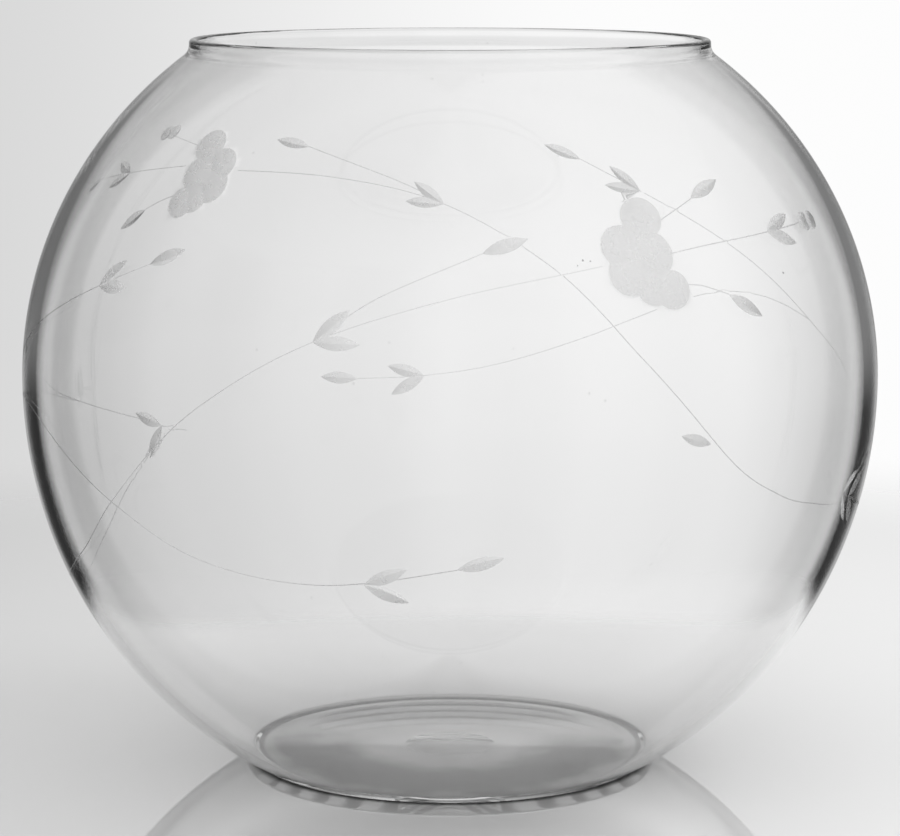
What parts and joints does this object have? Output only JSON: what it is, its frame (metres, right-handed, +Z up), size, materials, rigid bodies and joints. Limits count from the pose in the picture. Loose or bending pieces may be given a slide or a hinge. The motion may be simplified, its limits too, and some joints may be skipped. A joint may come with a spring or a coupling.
{
  "type": "rose bowl vase",
  "caption": "Round clear-glass rose bowl with a plain rounded lip, a faintly hollowed base and wheel-cut flower sprays on its side, to hold water and cut flowers.",
  "frame": {"origin": "on the bowl's axis, at the level of the ring that it stands on", "axes": "+Z up along the axis of the bowl, -Y towards the viewer of the front spray, +X to that viewer's right"},
  "size_m": [0.178, 0.178, 0.1516],
  "materials": {
    "clear_glass": "blown and fire-polished, clear",
    "ground_glass": "wheel-ground, matt grey, left unpolished"
  },
  "bodies": {
    "root": {"bowl": "clear_glass", "front_flower": "ground_glass", "front_leaves": "ground_glass", "front_bud": "ground_glass", "back_flower": "ground_glass", "back_leaves": "ground_glass", "back_bud": "ground_glass"}
  },
  "joints": []
}
